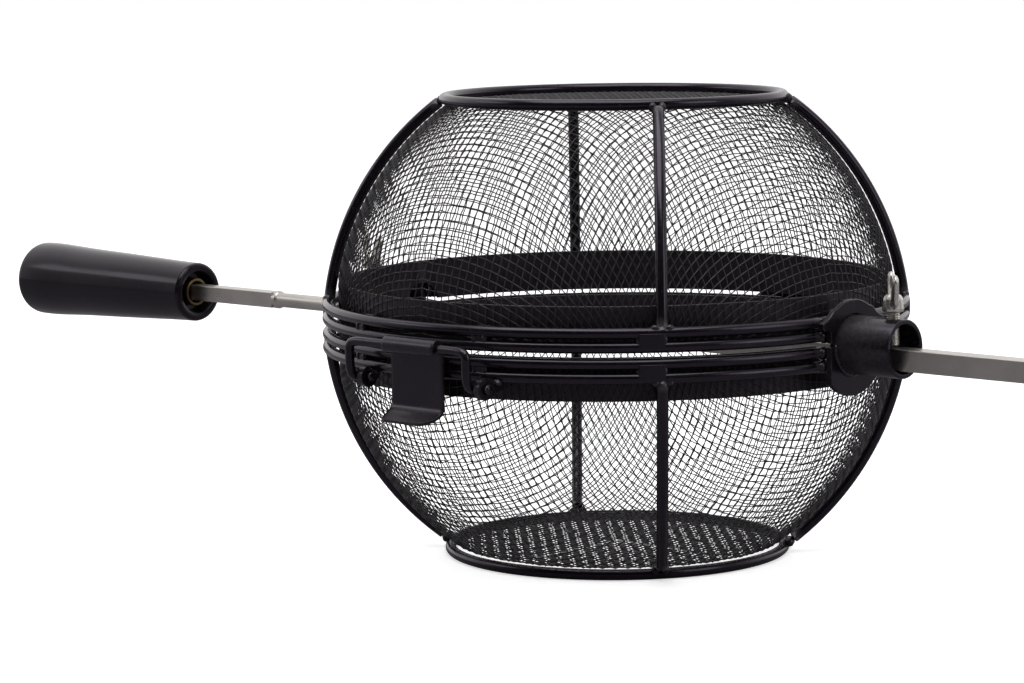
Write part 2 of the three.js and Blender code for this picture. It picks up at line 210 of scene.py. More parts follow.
def tube(points, radius, sides=20, closed=False, round_ends=0):
    """A wire along points; round_ends gives domed ends."""
    points = np.asarray(points, float)
    side, up = frames(points, closed)
    if round_ends:
        t = tangents(points, False)
        steps = 6
        bulge = [(math.sin(a), math.cos(a)) for a in np.linspace(0.15, math.pi / 2, steps)]
        start = [points[0] - t[0] * round_ends * c for s, c in bulge]
        stop = [points[-1] + t[-1] * round_ends * c for s, c in bulge[::-1]]
        scale = np.array([s for s, c in bulge] + [1] * len(points) + [s for s, c in bulge[::-1]])
        points = np.vstack([start, points, stop])
        side = np.vstack([[side[0]] * steps, side, [side[-1]] * steps])
        up = np.vstack([[up[0]] * steps, up, [up[-1]] * steps])
        radius = np.asarray(radius) * scale
    return skin_tube(points, side, up, radius, sides, closed)


def lathe(profile, segments=48, axis="X", origin=(0, 0, 0)):
    """Turned solid; profile is (distance along, radius), ends on the axis or meeting."""
    profile = np.asarray(profile, float)
    a = np.arange(segments) * 2 * math.pi / segments
    along = np.repeat(profile[:, 0], segments)
    c = (profile[:, 1][:, None] * np.cos(a)).ravel()
    s = (profile[:, 1][:, None] * np.sin(a)).ravel()
    verts = {"X": (along, c, s), "Z": (c, s, along)}[axis]
    verts = np.stack(verts, 1) + np.asarray(origin)
    return verts, wrap_faces(len(profile) - 1, segments)


def clean(obj, distance=1e-6):
    """Weld doubled points, such as a lathe's on its axis, and face outwards."""
    bm = bmesh.new()
    bm.from_mesh(obj.data)
    bmesh.ops.remove_doubles(bm, verts=bm.verts, dist=distance)
    bmesh.ops.dissolve_degenerate(bm, edges=bm.edges, dist=distance)
    bmesh.ops.recalc_face_normals(bm, faces=bm.faces)
    bm.to_mesh(obj.data)
    bm.free()
    return obj


def cut_away(obj, part):
    """Cut a closed (verts, faces) shape out of an object's mesh."""
    verts, faces = part
    mesh = bpy.data.meshes.new("cutter")
    mesh.from_pydata(np.asarray(verts, float).tolist(), [], faces)
    cutter = bpy.data.objects.new("cutter", mesh)
    bpy.context.scene.collection.objects.link(cutter)
    clean(cutter)
    mod = obj.modifiers.new("hole", "BOOLEAN")
    mod.object, mod.operation, mod.solver = cutter, "DIFFERENCE", "EXACT"
    depsgraph = bpy.context.evaluated_depsgraph_get()
    result = bpy.data.meshes.new_from_object(obj.evaluated_get(depsgraph))
    obj.modifiers.clear()
    obj.data = result
    bpy.data.objects.remove(cutter)
    bpy.data.meshes.remove(mesh)


def extrude_x(outline, x0, x1):
    """A flat outline of (y, z) pulled along X."""
    n = len(outline)
    verts = [(x, y, z) for x in (x0, x1) for y, z in outline]
    faces = [list(range(n))[::-1], list(range(n, 2 * n))]
    faces += [[i, (i + 1) % n, n + (i + 1) % n, n + i] for i in range(n)]
    return np.array(verts), faces


def arc(cy, cz, radius, a0, a1, steps):
    a = np.radians(np.linspace(a0, a1, steps + 1))
    return [(cy + radius * math.cos(t), cz + radius * math.sin(t)) for t in a]


def rounded(points, rounds=3):
    """Corner cutting: a smooth path from a few corner points."""
    p = np.asarray(points, float)
    for _ in range(rounds):
        q = p[:-1] * 0.75 + p[1:] * 0.25
        r = p[:-1] * 0.25 + p[1:] * 0.75
        p = np.vstack([p[:1], np.stack([q, r], 1).reshape(-1, p.shape[1]), p[-1:]])
    return p


def blob(centre, axes, seed, rough=0.14):
    """A lumpy bead of weld metal: an ellipsoid with three half-axis vectors."""
    rows, cols = 9, 14
    shift = Vector((seed * 7.1, seed * 3.3, 0))
    verts = []
    for i in range(rows + 1):
        lat = math.pi * (i / rows - 0.5)
        for k in range(cols):
            lon = 2 * math.pi * k / cols
            d = Vector((math.cos(lat) * math.cos(lon), math.cos(lat) * math.sin(lon), math.sin(lat)))
            d *= 1 + rough * noise.noise(d * 2.3 + shift)
            verts.append(np.asarray(centre) + d.x * np.asarray(axes[0]) + d.y * np.asarray(axes[1])
                         + d.z * np.asarray(axes[2]))
    return np.array(verts), wrap_faces(rows, cols)


# ================= materials =================
class Nodes:
    """Shorthand for building a node tree."""

    def __init__(self, name):
        self.material = bpy.data.materials.new(name)
        self.material.use_nodes = True
        self.tree = self.material.node_tree
        self.shader = self.tree.nodes["Principled BSDF"]
        self.place = self.add("ShaderNodeTexCoord").outputs["Object"]

    def add(self, kind, **values):
        node = self.tree.nodes.new(kind)
        for key, value in values.items():
            setattr(node, key, value)
        return node

    def link(self, a, b):
        self.tree.links.new(a, b)

    def noise(self, scale, detail=4.0, rough=0.55, stretch=(1, 1, 1), shift=0.0):
        place = self.place
        if stretch != (1, 1, 1) or shift:
            mapping = self.add("ShaderNodeMapping")
            mapping.inputs["Scale"].default_value = stretch
            mapping.inputs["Location"].default_value = (shift, shift, shift)
            self.link(place, mapping.inputs["Vector"])
            place = mapping.outputs["Vector"]
        node = self.add("ShaderNodeTexNoise")
        node.inputs["Scale"].default_value = scale
        node.inputs["Detail"].default_value = detail
        node.inputs["Roughness"].default_value = rough
        self.link(place, node.inputs["Vector"])
        return node.outputs["Fac"]

    def span(self, source, low, high, to_low, to_high):
        node = self.add("ShaderNodeMapRange")
        for key, value in (("From Min", low), ("From Max", high), ("To Min", to_low), ("To Max", to_high)):
            node.inputs[key].default_value = value
        self.link(source, node.inputs["Value"])
        return node.outputs["Result"]

    def mix(self, factor, a, b):
        node = self.add("ShaderNodeMix", data_type="RGBA")
        self.link(factor, node.inputs["Factor"])
        for key, value in (("A", a), ("B", b)):
            socket = [s for s in node.inputs if s.name == key and s.type == "RGBA"][0]
            if isinstance(value, tuple):
                socket.default_value = (*value, 1)
            else:
                self.link(value, socket)
        return [s for s in node.outputs if s.type == "RGBA"][0]

    def add_up(self, a, b, share):
        node = self.add("ShaderNodeMath", operation="MULTIPLY_ADD")
        self.link(b, node.inputs[0])
        node.inputs[1].default_value = share
        self.link(a, node.inputs[2])
        return node.outputs["Value"]

    def bump(self, height, distance, strength):
        node = self.add("ShaderNodeBump")
        node.inputs["Distance"].default_value = distance
        node.inputs["Strength"].default_value = strength
        self.link(height, node.inputs["Height"])
        self.link(node.outputs["Normal"], self.shader.inputs["Normal"])

    def set(self, **values):
        for key, value in values.items():
            self.shader.inputs[key.replace("_", " ")].default_value = value

    def worn(self, colour, bare, low=0.53, high=0.62):
        """Bare patches where an edge is convex, broken up by noise."""
        edge = self.add("ShaderNodeNewGeometry").outputs["Pointiness"]
        patchy = self.add_up(edge, self.noise(420, 3, shift=3.0), 0.10)
        return self.mix(self.span(patchy, low + 0.05, high + 0.05, 0, 1), colour, bare)


def enamel_material(name="black_enamel_coat", dark=(0.0052, 0.0036, 0.0056), gloss=(0.15, 0.27)):
    m = Nodes(name)
    broad = m.noise(55, 3)
    fine = m.noise(1400, 2)
    colour = m.mix(m.span(broad, 0.3, 0.7, 0, 1), dark, tuple(c * 1.7 for c in dark))
    speck = m.span(m.noise(900, 1, shift=9.0), 0.72, 0.78, 0, 1)
    colour = m.mix(speck, colour, (0.045, 0.042, 0.043))
    m.link(m.worn(colour, (0.05, 0.046, 0.046)), m.shader.inputs["Base Color"])
    m.link(m.span(m.add_up(broad, fine, 0.35), 0.4, 0.95, *gloss), m.shader.inputs["Roughness"])
    m.bump(m.add_up(m.noise(330, 3), fine, 0.35), 0.00012, 0.35)
    m.set(Specular_IOR_Level=0.5, Specular_Tint=(0.9, 0.8, 1.0, 1))
    return m.material


def weave_material():
    m = Nodes("coated_wire_weave")
    broad = m.noise(70, 3)
    colour = m.mix(m.span(broad, 0.3, 0.7, 0, 1), (0.021, 0.018, 0.022), (0.036, 0.032, 0.037))
    m.link(colour, m.shader.inputs["Base Color"])
    m.link(m.span(m.noise(600, 2), 0.3, 0.7, 0.34, 0.52), m.shader.inputs["Roughness"])
    m.bump(m.noise(1800, 2), 0.00005, 0.3)
    m.set(Specular_IOR_Level=0.45)
    return m.material


def nickel_material(name, colour=(0.60, 0.57, 0.53), stretch=(0.012, 1, 1), gloss=(0.24, 0.42)):
    m = Nodes(name)
    streak = m.noise(2600, 3, stretch=stretch)
    broad = m.noise(38, 4)
    tint = tuple(c * 0.82 for c in colour)
    base = m.mix(m.span(broad, 0.35, 0.65, 0, 1), tint, colour)
    spot = m.span(m.noise(260, 4, shift=5.0), 0.66, 0.74, 0, 0.7)
    base = m.mix(spot, base, tuple(c * 0.55 for c in colour))
    m.link(base, m.shader.inputs["Base Color"])
    m.link(m.span(m.add_up(streak, broad, 0.6), 0.5, 1.1, *gloss), m.shader.inputs["Roughness"])
    m.bump(streak, 0.00004, 0.35)
    m.set(Metallic=1.0)
    return m.material


def grip_material():
    m = Nodes("glossy_grip")
    broad = m.noise(30, 3)
    colour = m.mix(m.span(broad, 0.3, 0.7, 0, 1), (0.0065, 0.0052, 0.0072), (0.0095, 0.008, 0.0105))
    dust = m.span(m.noise(1100, 1, shift=2.0), 0.73, 0.8, 0, 0.5)
    m.link(m.mix(dust, colour, (0.09, 0.09, 0.09)), m.shader.inputs["Base Color"])
    scratch = m.noise(1500, 2, stretch=(0.05, 1, 1), shift=1.0)
    m.link(m.span(m.add_up(broad, scratch, 0.5), 0.45, 1.0, 0.09, 0.2), m.shader.inputs["Roughness"])
    m.bump(m.add_up(m.noise(160, 2), scratch, 0.1), 0.0001, 0.18)
    m.set(Specular_IOR_Level=0.34, Specular_Tint=(0.92, 0.84, 1.0, 1))
    return m.material


def floor_material():
    m = Nodes("pale_floor")
    colour = m.mix(m.span(m.noise(6, 3), 0.3, 0.7, 0, 1), (0.86, 0.86, 0.865), (0.9, 0.9, 0.9))
    seen = m.add("ShaderNodeLightPath").outputs["Is Camera Ray"]
    m.link(m.mix(seen, (0.22, 0.21, 0.23), colour), m.shader.inputs["Base Color"])
    m.link(m.span(m.noise(90, 2), 0.3, 0.7, 0.7, 0.85), m.shader.inputs["Roughness"])
    m.bump(m.noise(700, 2), 0.0001, 0.1)
    m.set(Emission_Color=(1, 1, 1, 1))
    m.link(m.span(seen, 0, 1, 0.02, 0.62), m.shader.inputs["Emission Strength"])
    return m.material


ENAMEL = enamel_material()
SHEET = enamel_material("black_enamel_sheet", (0.0068, 0.0046, 0.0066), (0.2, 0.32))
# The band's enamel is darker than the frame's: painted shade, because the band sits inside the rim.
SHADED_BAND_ENAMEL = enamel_material("black_enamel_band_painted_shade", (0.0028, 0.0022, 0.0032), (0.3, 0.44))
WEAVE = weave_material()
ROD = nickel_material("nickel_spit")
SCREW = nickel_material("nickel_screw", (0.78, 0.75, 0.70), (1, 1, 0.02), (0.22, 0.38))
BRASS = nickel_material("brass_ferrule", (0.22, 0.15, 0.08), (1, 1, 1), (0.3, 0.46))
GRIP = grip_material()


# ================= wire frame =================
def rib_path(which, sx, sy, steps=40):
    """Centreline of a rib, from the rim to the end ring."""
    rim = polar(math.radians(RIB_RIM_DEG), 1, 0)[:2] * RIB_ARC
    end = polar(math.radians(RIB_END_DEG), 1, 0)[:2] * END_R
    d = end - rim
    low = RIM_Z[1] + RIM_WIRE * 0.5
    high = END_Z[which] - RIB_TOP[which]
    first, last = (math.asin((z + RIB_DROP) / RIB_ARC) for z in (low, high))
    points = []
    for a in np.linspace(first, last, steps):
        r = RIB_ARC * math.cos(a)
        b, c = 2 * rim.dot(d), rim.dot(rim) - r * r
        t = (-b - math.sqrt(b * b - 4 * d.dot(d) * c)) / (2 * d.dot(d))
        x, y = rim + t * d
        points.append((sx * x, sy * y, MID + SIGN[which] * (RIB_ARC * math.sin(a) - RIB_DROP)))
    return np.array(points)


def circle(radius, z, count):
    a = np.arange(count) * 2 * math.pi / count
    return np.stack([radius * np.cos(a), radius * np.sin(a), np.full(count, z)], 1)


def rim_path(z, sign, count=110):
    """Half a rim ring, at the front or back, between the two collars."""
    a0 = math.asin(RIM_STOP_Y / RIM_R)
    a = np.linspace(a0, math.pi - a0, count)
    return np.stack([sign * RIM_R * np.cos(a), sign * RIM_R * np.sin(a), np.full(count, z)], 1)


def wire_frame(which):
    """The end ring, rim rings and ribs of one half."""
    s = SIGN[which]
    ring = circle(END_R, MID + s * END_Z[which], 180)
    wires = {f"{which}_end_ring": tube(ring, RIM_WIRE, 24, closed=True)}
    for sign, at in ((-1, "front"), (1, "back")):
        for offset, place in zip(RIM_Z, ("inner", "outer")):
            path = rim_path(MID + s * offset, sign)
            wires[f"{which}_rim_{place}_{at}"] = tube(path, RIM_WIRE, 22, round_ends=0.8 * MM)
    for sx, side in ((1, "right"), (-1, "left")):
        for sy, at in ((-1, "front"), (1, "back")):
            path = rib_path(which, sx, sy)
            wires[f"{which}_rib_{side}_{at}"] = tube(path, RIB_WIRE, 22, round_ends=0.7 * MM)
    for node, (v, f) in wires.items():
        piece(f"{node}_wire", v, f, ENAMEL, which, [node], sharp=None)


def polar(angle, radius, z):
    return np.array([radius * math.cos(angle), radius * math.sin(angle), z])


def web(which, angle, width, front):
    """A short bar that joins the two rim rings at their outer side."""
    z0, z1 = sorted((MID + SIGN[which] * RIM_Z[0], MID + SIGN[which] * RIM_Z[1]))
    inner, outer = RIM_R - 1.6 * MM, RIM_R + front
    spans = np.linspace(-width / 2, width / 2, 7)
    verts = [polar(angle + w / RIM_R, r, z)
             for w in spans for r, z in ((inner, z0), (outer, z0), (outer, z1), (inner, z1))]
    rows = len(spans) - 1
    return np.array(verts), wrap_faces(rows, 4) + end_caps(rows, 4)


def strap_welds(which, seeds):
    """A web under each rim strap, with a bead at each side."""
    webs, beads = [], []
    for a in [math.radians(b + d) for b in (-90, 90) for d in (-STRAP_DEG, STRAP_DEG)]:
        webs.append(web(which, a, *STRAP_WEB))
        out = polar(a, 1, 0)
        axes = (out * 1.7 * MM, np.cross(UP, out) * 1.3 * MM, UP * 2.6 * MM)
        for e in (-1, 1):
            at = polar(a + e * 2.6 * MM / RIM_R, RIM_R + 0.6 * MM, MID + SIGN[which] * sum(RIM_Z) / 2)
            beads.append(blob(at, axes, next(seeds)))
    return webs, beads


def rib_welds(which, seeds):
    """The web beside each rib's foot, and the beads at its foot and head."""
    s = SIGN[which]
    webs, beads = [], []
    for sx, sy in QUARTERS:
        path = rib_path(which, sx, sy)
        foot, head = path[0], path[-1]
        a = math.atan2(foot[1], foot[0])
        webs.append(web(which, a - WEB_SHIFT / RIM_R, *RIB_WEB))
        out, along = polar(a, 1, 0), np.cross(UP, polar(a, 1, 0))
        for e in (-1, 1):
            seed = next(seeds)
            at = polar(a + e * 3.0 * MM / RIM_R, RIM_R + 0.2 * MM, MID + s * (RIM_Z[1] + 2.0 * MM))
            beads.append(blob(at, (out * 2.2 * MM, along * 2.3 * MM, UP * 1.7 * MM), seed))
            beside = a + (e * 5.4 * MM - WEB_SHIFT) / RIM_R
            at = polar(beside, RIM_R + 0.8 * MM, MID + s * sum(RIM_Z) / 2)
            beads.append(blob(at, (out * 1.6 * MM, along * 1.6 * MM, UP * 2.4 * MM), seed + 0.5))
        b = math.atan2(head[1], head[0])
        out, along = polar(b, 1, 0), np.cross(UP, polar(b, 1, 0))
        joint = (polar(b, END_R, MID + s * END_Z[which]) + head) / 2
        axes = (out * 2.6 * MM, along * 2.0 * MM, UP * 2.2 * MM)
        for e in (-1, 1):
            beads.append(blob(joint + along * e * 2.2 * MM, axes, next(seeds)))
    return webs, beads


def stop_welds(which, seeds):
    """A bead on the end of each rim wire, where it meets a collar plate."""
    y = RIM_STOP_Y + 0.6 * MM
    x = math.sqrt(RIM_R ** 2 - y * y) + 1.6 * MM
    axes = ((2.0 * MM, 0, 0), (0, 3.6 * MM, 0), (0, 0, 2.9 * MM))
    beads = [blob((sx * x, sy * y, MID + SIGN[which] * offset), axes, next(seeds), 0.2)
             for sx, sy in QUARTERS for offset in RIM_Z]
    return [], beads


def weld_details(which):
    """Webs between the rim rings and the beads that hold the frame together."""
    seeds = itertools.count(2 if which == "lid" else 51)
    webs, beads = [], []
    for weld in (strap_welds, rib_welds, stop_welds):
        more_webs, more_beads = weld(which, seeds)
        webs += more_webs
        beads += more_beads
    v, f = merge(webs)
    bevel(piece(f"{which}_rim_webs", v, f, SHEET, which), 0.5 * MM)
    v, f = merge(beads)
    clean(piece(f"{which}_weld_beads", v, f, ENAMEL, which, sharp=None))
    for i in range(1, 5):
        dress(f"{which}_strap_{i}", SHEET, 0.4 * MM)


# ================= sheet bands =================
def band(which):
    """The sheet ring inside a rim, with the spit's way cut through it."""
    node = f"{which}_band"
    low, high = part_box(node)
    r1 = high.x
    r0 = r1 - 1.2 * MM
    z0, z1 = low.z, high.z
    c = 0.3 * MM
    outline = [(z0 + c, r0), (z0, r0 + c), (z0, r1 - c), (z0 + c, r1), (z1 - c, r1), (z1, r1 - c),
               (z1, r0 + c), (z1 - c, r0), (z0 + c, r0)]
    verts, faces = lathe(outline, 220, "Z")
    # The darker enamel on this band is painted shade, not a different coating.
    obj = clean(piece(f"{which}_sheet_band", verts, faces, SHADED_BAND_ENAMEL, which, [node]))
    reach = r1 + 5 * MM
    way = [(-reach, 0), (-reach, BORE_R), (reach, BORE_R), (reach, 0)]
    cut_away(obj, lathe(way, 48, "X", (0, 0, COLLAR_Z)))


# ================= woven skins =================
def skin_profile(which):
    """Outer outline of the CAD skin, from its axis to its rim: (radius, height from the middle)."""
    co = np.array([v.co for v in NODES[f"{which}_mesh"].data.vertices], float)
    r = np.round(np.hypot(co[:, 0], co[:, 1]), 6)
    z = np.round(np.abs(co[:, 2] - MID), 6)
    points = sorted(set(zip(r.tolist(), z.tolist())))
    hull = []
    for p in points:
        while len(hull) > 1 and cross2(hull[-2], hull[-1], p) >= 0:
            hull.pop()
        hull.append(p)
    lowest = (max(r), min(z))
    if hull[-1] != lowest:
        hull.append(lowest)
    return np.array(hull)


def cross2(a, b, c):
    return (b[0] - a[0]) * (c[1] - a[1]) - (b[1] - a[1]) * (c[0] - a[0])


class Dome:
    """A surface of revolution by distance along its meridian from the axis."""

    def __init__(self, which):
        p = skin_profile(which)
        p = p[np.concatenate([[True], np.hypot(*np.diff(p, axis=0).T) > 1e-4])]
        p = rounded(p, 3)
        step = np.hypot(*np.diff(p, axis=0).T)
        s = np.concatenate([[0], np.cumsum(step)])
        self.end = s[-1]
        self.step = 0.25 * MM
        self.s = np.arange(0, self.end, self.step)
        r, z = np.interp(self.s, s, p[:, 0]), np.interp(self.s, s, p[:, 1])
        pad = 8
        kernel = np.ones(2 * pad + 1) / (2 * pad + 1)
        r = np.concatenate([2 * r[0] - r[pad:0:-1], r, np.full(pad, r[-1])])
        z = np.concatenate([z[pad:0:-1], z, z[-1] - self.step * np.arange(1, pad + 1)])
        r, z = np.convolve(r, kernel, "valid"), np.convolve(z, kernel, "valid")
        dr, dz = np.gradient(r, self.step), np.gradient(z, self.step)
        norm = np.hypot(dr, dz)
        self.r = r + SKIN_INSET * dz / norm
        self.z = z - SKIN_INSET * dr / norm
        self.dr, self.dz = np.gradient(self.r, self.step), np.gradient(self.z, self.step)

    def at(self, s):
        """Radius, height and their slopes; straight on past the rim."""
        k = s / self.step
        if k >= len(self.s) - 1:
            over = s - self.s[-1]
            return self.r[-1], self.z[-1] - over, 0.0, -1.0
        k = max(k, 0.0)
        i = int(k)
        t = k - i
        return tuple(a[i] * (1 - t) + a[i + 1] * t for a in (self.r, self.z, self.dr, self.dz))

    def point(self, s, phi):
        r, z, _, _ = self.at(s)
        return np.array([r * math.cos(phi), r * math.sin(phi), z])


def meet(dome, a, b, guess, pitch):
    """The surface point one pitch from both a and b, as (s, phi), or None."""
    s, phi = guess
    most_steps = 14
    for _ in range(most_steps):
        r, z, dr, dz = dome.at(s)
        c, n = math.cos(phi), math.sin(phi)
        px, py, pz = r * c, r * n, z
        ax, ay, az = px - a[0], py - a[1], pz - a[2]
        bx, by, bz = px - b[0], py - b[1], pz - b[2]
        f1 = ax * ax + ay * ay + az * az - pitch * pitch
        f2 = bx * bx + by * by + bz * bz - pitch * pitch
        j11 = 2 * (ax * dr * c + ay * dr * n + az * dz)
        j12 = 2 * (-ax * r * n + ay * r * c)
        j21 = 2 * (bx * dr * c + by * dr * n + bz * dz)
        j22 = 2 * (-bx * r * n + by * r * c)
        det = j11 * j22 - j12 * j21
        if abs(det) < 1e-16:
            return None
        ds, dp = (f1 * j22 - f2 * j12) / det, (f2 * j11 - f1 * j21) / det
        ds = max(-pitch, min(pitch, ds))
        limit = pitch / max(r, pitch)
        dp = max(-limit, min(limit, dp))
        s, phi = s - ds, phi - dp
        if abs(ds) < 1e-8 and abs(dp) < 1e-7:
            break
    else:
        return None
    return s, phi


def quadrant(dome, pitch):
    """Crossings of a square cloth laid over one quarter of the dome: (i, j) -> (s, phi)."""
    count = int(dome.end / pitch) + 3
    net = {(i, 0): (i * pitch, 0.0) for i in range(count)}
    net.update({(0, j): (j * pitch, math.pi / 2) for j in range(1, count)})
    for i in range(1, count):
        for j in range(1, count):
            left, below, back = net.get((i - 1, j)), net.get((i, j - 1)), net.get((i - 1, j - 1))
            if not (left and below and back):
                continue
            if min(left[0], below[0]) > dome.end:
                continue
            a, b, c = dome.point(*left), dome.point(*below), dome.point(*back)
            g = a + b - c
            phi = math.atan2(g[1], g[0])
            near_axis = back[0] <= 0.2 * dome.end
            s = np.hypot(g[0], g[1]) if near_axis else max(left[0], below[0]) + 0.3 * pitch
            found = meet(dome, a, b, (s, phi), pitch)
            if found and found[0] > back[0]:
                net[(i, j)] = found
    return net


def full_net(which, pitch):
    """All crossings of one half: positions and outward normals."""
    dome = Dome(which)
    quarter = quadrant(dome, pitch)
    places, normals = {}, {}
    for (i, j), (s, phi) in quarter.items():
        r, z, dr, dz = dome.at(s)
        n = unit(np.array([-dz * math.cos(phi), -dz * math.sin(phi), dr]))
        p = np.array([r * math.cos(phi), r * math.sin(phi), z])
        for mx, my in QUARTERS:
            m = np.array([mx, my, 1])
            places[(i * mx, j * my)] = p * m
            normals[(i * mx, j * my)] = n * m
    return places, normals, dome


def lanes(places, normals, along):
    """Unbroken runs of crossings in one direction: (place, normal, over or under)."""
    spread = max(max(abs(i), abs(j)) for i, j in places)
    runs = []
    for lane in range(-spread, spread + 1):
        run = []
        for k in list(range(-spread, spread + 1)) + [None]:
            key = None if k is None else ((k, lane) if along == "x" else (lane, k))
            if key in places:
                over = 1 if (k + lane) % 2 == 0 else -1
                over *= 1 if along == "x" else -1
                run.append((places[key], normals[key], over))
            else:
                if len(run) > 2:
                    runs.append(run)
                run = []
    return runs


def strands(places, normals, along, low, drop):
    """Wires of one direction: (points, normals) with the weave's crimp."""
    shaped = []
    for run in lanes(places, normals, along):
        p, n, over = (np.array(part) for part in zip(*run))
        merged = np.empty((2 * len(p) - 1, 3))
        merged[0::2], merged[1::2] = p + n * (over * CRIMP)[:, None], (p[:-1] + p[1:]) / 2
        facing = np.empty_like(merged)
        facing[0::2], facing[1::2] = n, unit(n[:-1] + n[1:])
        shaped += clipped(merged, facing, low, drop)
    return shaped


def clipped(points, facing, low, drop):
    """The parts of a wire that are above the rim and clear of the spit's way."""
    keep = points[:, 2] > low
    way = np.hypot(points[:, 1], points[:, 2] - drop) < SPIT_WAY_R
    keep &= ~((np.abs(points[:, 0]) > SPIT_WAY_X) & way)
    cuts = np.flatnonzero(np.diff(keep.astype(int))) + 1
    out = []
    for chunk in np.split(np.arange(len(points)), cuts):
        if keep[chunk[0]] and len(chunk) > 3:
            out.append((points[chunk], facing[chunk]))
    return out


def woven_skin(which):
    """Both directions of wire over one half."""
    places, normals, dome = full_net(which, PITCH)
    low = float(dome.z[-1])
    s = SIGN[which]
    flip = np.array([1, 1, s])
    for along in ("x", "y"):
        parts = []
        for points, facing in strands(places, normals, along, low, s * (COLLAR_Z - MID)):
            p = points * flip + np.array([0, 0, MID])
            n = facing * flip
            t = tangents(p, False)
            side = unit(np.cross(t, n))
            parts.append(skin_tube(p, side, np.cross(side, t), WEAVE_WIRE, 5, False))
        v, f = merge(parts)
        replaced = [f"{which}_mesh"] if along == "x" else []
        piece(f"{which}_weave_{along}", v, f, WEAVE, which, replaced, sharp=None)


# ================= collars and screws =================
def mirror(part, side):
    """A right-hand part, turned over to the left where side is negative."""
    v, f = part
    v = np.array(v, float)
    if side < 0:
        v[:, 0] *= -1
        f = [list(face)[::-1] for face in f]
    return v, f


def collar(side, name):
    """Two plates, and the sleeve that carries the spit with its ring of weld."""
    for which in ("lid", "base"):
        dress(f"{which}_plate_{name}", ENAMEL, 0.6 * MM)
    x1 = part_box("lid_plate_right")[1].x
    start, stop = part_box("collar_tube_right")[0].x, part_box("collar_tube_right")[1].x
    r = 0.7 * MM
    lip = np.linspace(0, math.pi / 2, 6)
    outline = [(start, BORE_R), (start, TUBE_R)]
    outline += [(stop - r + r * math.sin(a), TUBE_R - r + r * math.cos(a)) for a in lip]
    outline += [(stop - r + r * math.cos(a), BORE_R + r - r * math.sin(a)) for a in lip]
    outline += [(start, BORE_R)]
    v, f = mirror(lathe(outline, 96, "X", (0, 0, COLLAR_Z)), side)
    obj = clean(piece(f"collar_sleeve_{name}", v, f, ENAMEL, "base", [f"collar_tube_{name}"]))
    cut_screw_hole(obj, name)
    beads, count = [], 22
    for k in range(count):
        a = math.radians(-176 + 172 * k / (count - 1))
        out = np.array([0, math.cos(a), math.sin(a)])
        at = np.array([x1 + 0.2 * MM, 0, COLLAR_Z]) + out * (TUBE_R + 0.3 * MM)
        turn = np.cross((1, 0, 0), out)
        axes = ((1.2 * MM, 0, 0), out * 1.1 * MM, turn * 2.1 * MM)
        beads.append(mirror(blob(at, axes, k + 9 * side, 0.18), side))
    v, f = merge(beads)
    clean(piece(f"collar_weld_{name}", v, f, ENAMEL, "base", sharp=None))


def cut_screw_hole(obj, name):
    """The tapped hole in the top of a collar sleeve."""
    low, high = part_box(f"wing_screw_{name}_shank")
    centre = (low + high) / 2
    bottom, top, radius = MID + 4 * MM, MID + 20 * MM, 3.2 * MM
    hole = [(bottom, 0), (bottom, radius), (top, radius), (top, 0)]
    cut_away(obj, lathe(hole, 32, "Z", (centre.x, centre.y, 0)))


def wing_screw(side, name):
    """The threaded shank, with its start tapered, and the wing on top."""
    low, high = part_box(f"wing_screw_{name}_shank")
    cx = (low.x + high.x) / 2
    major, minor, pitch = 2.96 * MM, 2.42 * MM, 1.0 * MM
    around, rows_per_turn = 36, 10
    z0, z1 = low.z, high.z + 0.2 * MM
    rows = int((z1 - z0) / pitch * rows_per_turn)
    verts = []
    for i in range(rows + 1):
        z = z0 + (z1 - z0) * i / rows
        for k in range(around):
            a = 2 * math.pi * k / around
            phase = ((z - z0) / pitch - k / around) % 1.0
            ridge = max(0.0, 1 - abs(phase - 0.5) * 2.6)
            taper = min(1.0, (z - z0) / (1.2 * MM) + 0.55)
            r = (minor + (major - minor) * min(1.0, ridge * 1.25)) * taper
            verts.append((cx + r * math.cos(a), r * math.sin(a), z))
    faces = wrap_faces(rows, around) + end_caps(rows, around)
    piece(f"screw_thread_{name}", verts, faces, SCREW, f"screw_{name}_shank",
          [f"wing_screw_{name}_shank"], sharp=50)
    wing_head(side, name, cx)


def wing_ear(way, z0, z1):
    """One ear, swept out and up from the hub, with a rounded tip."""
    spine = rounded([(0, 0, z0 + 3.5 * MM), (way * 4 * MM, 0, z0 + 4.2 * MM),
                     (way * 7.0 * MM, 0, z0 + 7.5 * MM), (way * 8.6 * MM, 0, z1 - 6 * MM),
                     (way * 9.0 * MM, 0, z1 - 3.4 * MM)], 3)
    t = np.linspace(0, 1, len(spine))
    wide = (2.6 + 1.3 * np.sin(t * math.pi * 0.5)) * MM
    thick = (1.9 - 0.4 * t) * MM
    d = tangents(spine, False)
    tip = [(0.94, 1.3 * MM), (0.75, 2.3 * MM), (0.4, 3.1 * MM)]
    rows = list(zip(spine, wide, thick))
    rows += [(spine[-1] + d[-1] * h, wide[-1] * k, thick[-1] * k) for k, h in tip]
    across = np.cross(d, np.array([0, 1.0, 0]))
    across = np.vstack([across, [across[-1]] * len(tip)])
    around = 20
    verts = [p + sv * w * math.cos(a) + np.array([0, th * math.sin(a), 0])
             for (p, w, th), sv in zip(rows, across) for a in np.arange(around) * 2 * math.pi / around]
    return np.array(verts), wrap_faces(len(rows) - 1, around) + end_caps(len(rows) - 1, around)


